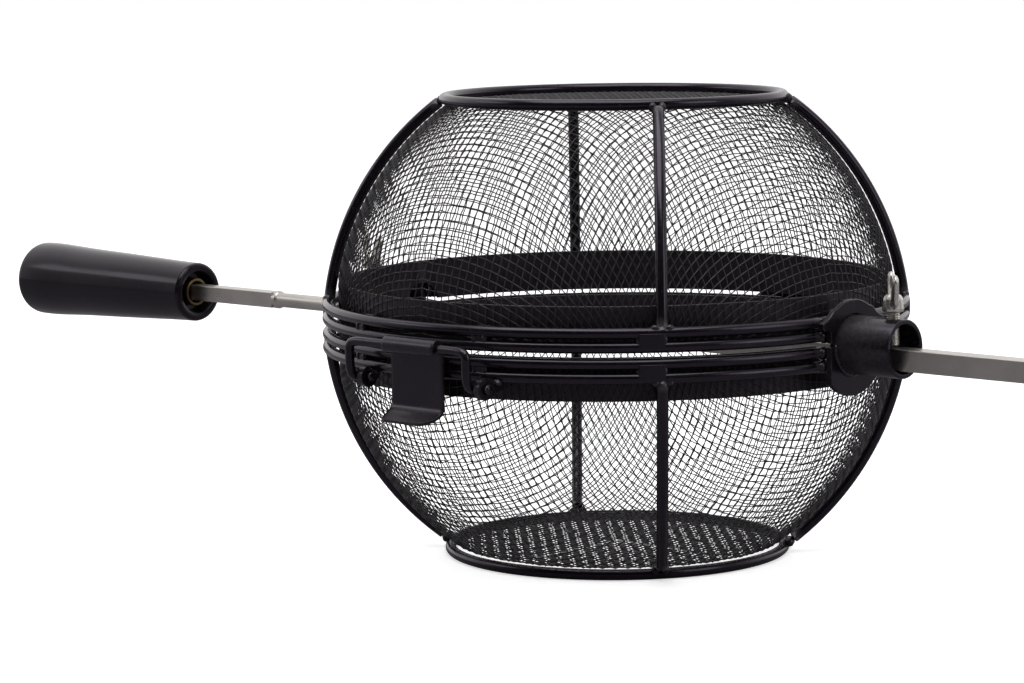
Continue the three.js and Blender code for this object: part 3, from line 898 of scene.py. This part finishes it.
def wing_head(side, name, cx):
    """Hub and two ears, blended like a casting."""
    low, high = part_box(f"wing_screw_{name}_wing")
    z0, z1 = low.z, high.z
    top = z0 + 7.6 * MM
    hub = [(z0, 0), (z0, 4.5 * MM), (z0 + 1 * MM, 4.8 * MM), (top - 2 * MM, 4.3 * MM),
           (top - 0.5 * MM, 3.4 * MM), (top, 2 * MM), (top, 0)]
    v, f = merge([lathe(hub, 40, "Z"), wing_ear(-1, z0, z1), wing_ear(1, z0, z1)])
    turn = math.radians(-47 if side > 0 else -25)
    spin = np.array([[math.cos(turn), -math.sin(turn), 0], [math.sin(turn), math.cos(turn), 0], [0, 0, 1]])
    v = v @ spin.T + np.array([cx, 0, 0])
    obj = clean(piece(f"screw_wing_{name}", v, f, SCREW, f"screw_{name}_wing",
                      [f"wing_screw_{name}_wing"], sharp=None))
    mod = obj.modifiers.new("cast", "REMESH")
    mod.mode, mod.voxel_size, mod.use_smooth_shade = "VOXEL", 0.3 * MM, True
    soft = obj.modifiers.new("soft", "SMOOTH")
    soft.iterations, soft.factor = 6, 0.5


# ================= latch =================
def bail_leg(pin):
    """One leg from the cross bar to its pin; pin is the way the pin points."""
    h, by, bz = LATCH_HALF, *BAR
    py, pz = PIVOT
    return [(h - 12 * MM, by, bz), (h - 4 * MM, by, bz), (h, by, bz - 1.2 * MM), (h, by, bz - 6 * MM),
            (h, by, -8 * MM), (h, by + 0.3 * MM, -10.8 * MM), (h, by + 1.6 * MM, pz + 0.8 * MM),
            (h, py - 2.2 * MM, pz), (h + pin * 0.9 * MM, py, pz), (h + pin * 3 * MM, py, pz),
            (h + pin * 7.8 * MM, py, pz)]


def latch():
    """The sprung wire bail, its tab and the two eyes that it turns in."""
    left = [(-x, y, z) for x, y, z in bail_leg(-1)][::-1]
    path = rounded(left + bail_leg(1), 3) + np.array([LATCH_X, 0, MID])
    v, f = tube(path, BAIL_WIRE, 20, round_ends=1.0 * MM)
    piece("latch_bail_wire", v, f, ENAMEL, "latch_bail", ["latch_bail"], sharp=None)
    latch_tab()
    for side, name in ((1, "right"), (-1, "left")):
        latch_eye(side, name)


def corner_inset(left_over, radius):
    """How far a rounded corner cuts in, at each distance left to the edge below it."""
    bite = np.maximum(radius - left_over, 0)
    return radius - np.sqrt(radius ** 2 - bite ** 2)


def latch_tab():
    """Sheet behind the cross bar, wrapped over it to the front, flared at its foot."""
    low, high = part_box("latch_tab")
    cx, half_w = (low.x + high.x) / 2, (high.x - low.x) / 2
    r = BAIL_WIRE + 0.3 * MM + TAB_T / 2
    by, bz = BAR
    back = by + r
    foot = low.z - MID + 9.4 * MM
    curl = arc(by, bz, r, 224, 0, 30)
    tail = rounded([(back, foot), (back, foot - 2.4 * MM), (back - 1.6 * MM, foot - 4.8 * MM),
                    (back - 8.3 * MM, low.z - MID + 0.8 * MM)], 3)
    straight = [(back, z) for z in np.linspace(bz, foot, 14)[1:-1]]
    path = np.array(curl + straight + [tuple(p) for p in tail])
    step = np.hypot(*np.diff(path, axis=0).T)
    left_over = step.sum() - np.concatenate([[0], np.cumsum(step)])
    left, right = (corner_inset(left_over, radius) for radius in TAB_CORNERS)
    cols = 21
    across = np.linspace(0, 1, cols)
    verts = [(cx - half_w + i + a * (2 * half_w - i - k), y, z + MID)
             for (y, z), i, k in zip(path, left, right) for a in across]
    faces = grid_faces(len(path) - 1, cols)
    obj = piece("latch_tab_sheet", verts, faces, SHEET, "latch_tab", ["latch_tab"], sharp=None)
    solid = obj.modifiers.new("sheet", "SOLIDIFY")
    solid.thickness, solid.offset = TAB_T, 0
    bevel(obj, 0.35 * MM, 2, 50)


def latch_eye(side, name):
    """An eye, and the lumpy weld that holds it under the rim."""
    node = f"latch_eye_{name}"
    low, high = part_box(node)
    dress(node, SHEET, 0.4 * MM)
    ring_y = -math.sqrt(RIM_R ** 2 - ((low.x + high.x) / 2) ** 2)
    axes = ((1.9 * MM, 0, 0), (0, 2.5 * MM, 0), (0, 0, 1.5 * MM))
    beads = []
    for k in range(5):
        x, y = low.x - 0.6 * MM + k * 1.0 * MM, ring_y - 0.6 * MM - 0.3 * MM * (k % 2)
        beads.append(blob((x, y, MID - RIM_Z[1] - 2.2 * MM), axes, 200 + k + 7 * side, 0.3))
    v, f = merge(beads)
    clean(piece(f"latch_eye_{name}_weld", v, f, ENAMEL, "base", sharp=None))


# ================= hinge =================
def hinge():
    """Three barrels on a pin with eased ends."""
    for node in ("hinge_barrel_base_right", "hinge_barrel_base_left", "hinge_barrel_lid"):
        dress(node, SHEET, 0.4 * MM)
    low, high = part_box("hinge_pin")
    r, head = (high.y - low.y) / 2, 0.5 * MM
    profile = [(low.x, 0), (low.x, r - head), (low.x + head, r),
               (high.x - head, r), (high.x, r - head), (high.x, 0)]
    v, f = lathe(profile, 32, "X", (0, (low.y + high.y) / 2, MID))
    clean(piece("hinge_pin_turned", v, f, SCREW, "base", ["hinge_pin"]))


# ================= spit and handle =================
def square_section(half, corner):
    """A square of (y, z) about the spit's axis, with rounded corners."""
    outline = []
    for a, sy, sz in ((0, 1, 1), (90, -1, 1), (180, -1, -1), (270, 1, -1)):
        outline += arc(sy * (half - corner), sz * (half - corner), corner, a, a + 90, 4)
    return [(y, z + ROD_Z) for y, z in outline]


def spit():
    """The square rod with eased ends, its turned end and the grip."""
    low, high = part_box("spit_rod")
    outline = square_section((high.y - low.y) / 2, 0.55 * MM)
    xs = [low.x, low.x + 0.5 * MM, high.x - 0.8 * MM, high.x]
    shrink = [0.93, 1, 1, 0.9]
    n = len(outline)
    verts = [(x, y * k, ROD_Z + (z - ROD_Z) * k) for x, k in zip(xs, shrink) for y, z in outline]
    faces = wrap_faces(3, n) + end_caps(3, n)
    even_flats(clean(piece("spit_square_rod", verts, faces, ROD, "spit", ["spit_rod"],
                           sharp=None)))
    journal(low.x)
    grip()


def journal(rod_x):
    """The round journal and its shoulder, with the thin square end behind it."""
    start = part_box("spit_journal")[0].x
    r, shoulder, tang = 3.65 * MM, 4.45 * MM, 3.97 * MM
    s0, s1 = -230.8 * MM, -227.4 * MM
    profile = [(s0 - 2.2 * MM, 0), (s0 - 2.2 * MM, 3.5 * MM), (s0, shoulder - 0.3 * MM),
               (s0 + 0.4 * MM, shoulder), (s1 - 0.6 * MM, shoulder), (s1, shoulder - 0.5 * MM),
               (s1 + 0.3 * MM, r + 0.3 * MM), (s1 + 1.0 * MM, r), (rod_x - 3 * MM, r),
               (rod_x - 0.6 * MM, r + 0.5 * MM), (rod_x, r + 0.8 * MM), (rod_x, 0)]
    round_part = lathe(profile, 48, "X", (0, 0, ROD_Z))
    square = extrude_x(square_section(tang, 0.5 * MM), start + 1 * MM, s0 + 0.4 * MM)
    v, f = merge([round_part, square])
    even_flats(clean(piece("spit_turned_end", v, f, ROD, "spit", ["spit_journal"])))


def grip():
    """The turned grip; its profile runs from the mouth's floor out over the body."""
    low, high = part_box("handle")
    long = high.x - low.x
    big = (high.y - low.y) / 2 - 0.02 * MM
    small = 15.2 * MM
    edge = [(0, small - 1.4 * MM), (0.25 * MM, small - 0.75 * MM), (0.8 * MM, small - 0.3 * MM),
            (1.8 * MM, small)]
    swell = [(1.8 * MM, small), (12 * MM, small + 0.15 * MM), (34 * MM, small + 1.0 * MM),
             (60 * MM, small + 2.0 * MM), (87 * MM, big - 1.35 * MM), (105 * MM, big - 0.35 * MM),
             (long - 12 * MM, big), (long - 4 * MM, big - 0.05 * MM), (long - 1.6 * MM, big - 0.3 * MM),
             (long - 0.4 * MM, big - 1.2 * MM), (long, big - 2.8 * MM)]
    butt = [(long, big - 2.8 * MM), (long, 6 * MM), (long, 0)]
    mouth = [(92 * MM, 0), (92 * MM, 6.4 * MM), (7.4 * MM, 6.4 * MM), (7.0 * MM, 9.6 * MM),
             (5.6 * MM, 10.2 * MM), (1.6 * MM, 10.6 * MM), (0.5 * MM, 11.1 * MM), (0, 12.2 * MM)]
    profile = np.vstack([mouth, rounded(edge, 2), rounded(swell, 3), butt])
    profile[:, 0] = high.x - profile[:, 0]
    v, f = lathe(profile, 96, "X", (0, 0, ROD_Z))
    clean(piece("handle_grip", v, f, GRIP, "spit", ["handle"]))
    ferrule()


def ferrule():
    """The ring in the grip's mouth."""
    low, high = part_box("handle_ferrule")
    r0, r1 = 5.7 * MM, (high.y - low.y) / 2
    ring = [(high.x, r0 + 0.3 * MM), (high.x, r1 - 0.7 * MM), (high.x - 0.3 * MM, r1 - 0.2 * MM),
            (high.x - 0.8 * MM, r1), (low.x, r1), (low.x, r0), (high.x - 0.4 * MM, r0),
            (high.x, r0 + 0.3 * MM)]
    v, f = lathe(ring, 64, "X", (0, 0, ROD_Z))
    clean(piece("handle_ferrule_ring", v, f, BRASS, "spit", ["handle_ferrule"]))


# ================= studio =================
VIEW_AZ = math.radians(41.5)
WORLD_FRONT, WORLD_BACK = 0.025, 1.0


def pale_floor():
    half, count = 4.0, 9
    mesh = bpy.data.meshes.new("floor")
    grid = np.linspace(-half, half, count)
    mesh.from_pydata([(x, y, 0.0) for y in grid for x in grid], [], grid_faces(count - 1, count))
    floor = bpy.data.objects.new("floor", mesh)
    bpy.context.scene.collection.objects.link(floor)
    mesh.materials.append(floor_material())


def studio():
    """A world that is bright behind the object and dark in front, and white to the camera."""
    world = bpy.data.worlds.new("studio")
    bpy.context.scene.world = world
    world.use_nodes = True
    tree = world.node_tree
    back = tree.nodes["Background"]
    coord = tree.nodes.new("ShaderNodeTexCoord")
    facing = tree.nodes.new("ShaderNodeVectorMath")
    facing.operation = "DOT_PRODUCT"
    facing.inputs[1].default_value = (-math.sin(VIEW_AZ), math.cos(VIEW_AZ), 0)
    bright = tree.nodes.new("ShaderNodeMapRange")
    for key, value in (("From Min", -0.3), ("From Max", 0.45), ("To Min", WORLD_FRONT),
                       ("To Max", WORLD_BACK)):
        bright.inputs[key].default_value = value
    tree.links.new(coord.outputs["Generated"], facing.inputs[0])
    tree.links.new(facing.outputs["Value"], bright.inputs["Value"])
    tree.links.new(bright.outputs["Result"], back.inputs["Strength"])
    back.inputs["Color"].default_value = (1, 0.985, 0.99, 1)
    seen = tree.nodes.new("ShaderNodeBackground")
    seen.inputs["Color"].default_value = (1, 1, 1, 1)
    seen.inputs["Strength"].default_value = 1.0
    path = tree.nodes.new("ShaderNodeLightPath")
    mix = tree.nodes.new("ShaderNodeMixShader")
    tree.links.new(path.outputs["Is Camera Ray"], mix.inputs["Fac"])
    tree.links.new(back.outputs["Background"], mix.inputs[1])
    tree.links.new(seen.outputs["Background"], mix.inputs[2])
    tree.links.new(mix.outputs["Shader"], tree.nodes["World Output"].inputs["Surface"])
    view = bpy.context.scene.view_settings
    view.view_transform = "Standard"
    view.look = "None"


def area(name, azimuth, height, distance, width, depth, power, aim=(0, 0, 0.1)):
    """A soft box; azimuth is measured like the camera's, from -Y towards +X."""
    light = bpy.data.lights.new(name, "AREA")
    light.shape, light.size, light.size_y, light.energy = "RECTANGLE", width, depth, power
    obj = bpy.data.objects.new(name, light)
    bpy.context.scene.collection.objects.link(obj)
    obj.visible_camera = False
    a = math.radians(azimuth)
    obj.location = (distance * math.sin(a), -distance * math.cos(a), height)
    obj.rotation_euler = (Vector(aim) - obj.location).to_track_quat("-Z", "Y").to_euler()


VIEW_DISTANCE = 1.5918
VIEW_HEIGHT = MID + 0.1843
AIM_LEFT = 0.0482
AIM_HEIGHT = MID - 0.0095
ROLL = math.radians(-0.73)
LENS, SENSOR = 121.2, 36  # in millimetres


def camera():
    data = bpy.data.cameras.new("camera")
    data.lens, data.sensor_width = LENS, SENSOR
    data.clip_end = 20
    obj = bpy.data.objects.new("camera", data)
    bpy.context.scene.collection.objects.link(obj)
    right = Vector((math.cos(VIEW_AZ), math.sin(VIEW_AZ), 0))
    place = Vector((math.sin(VIEW_AZ), -math.cos(VIEW_AZ), 0)) * VIEW_DISTANCE
    place.z = VIEW_HEIGHT
    aim = Vector((0, 0, AIM_HEIGHT)) - right * AIM_LEFT
    forward = (aim - place).normalized()
    level = forward.cross(Vector((0, 0, 1))).normalized()
    upright = level.cross(forward)
    r = level * math.cos(ROLL) + upright * math.sin(ROLL)
    u = upright * math.cos(ROLL) - level * math.sin(ROLL)
    rows = [(r[i], u[i], -forward[i], place[i]) for i in range(3)]
    obj.matrix_world = Matrix((*rows, (0, 0, 0, 1)))
    bpy.context.scene.camera = obj


camera()
pale_floor()
studio()
area("soft_top", 20, 1.9, 0.5, 2.0, 1.4, 26)
area("soft_left", -50, 1.1, 1.9, 0.9, 0.5, 2.2)
area("soft_right", 100, 0.9, 1.9, 0.9, 1.2, 6)
for half_name in ("base", "lid"):
    wire_frame(half_name)
    weld_details(half_name)
    band(half_name)
    woven_skin(half_name)
for collar_side, collar_name in ((1, "right"), (-1, "left")):
    collar(collar_side, collar_name)
    wing_screw(collar_side, collar_name)
latch()
hinge()
spit()
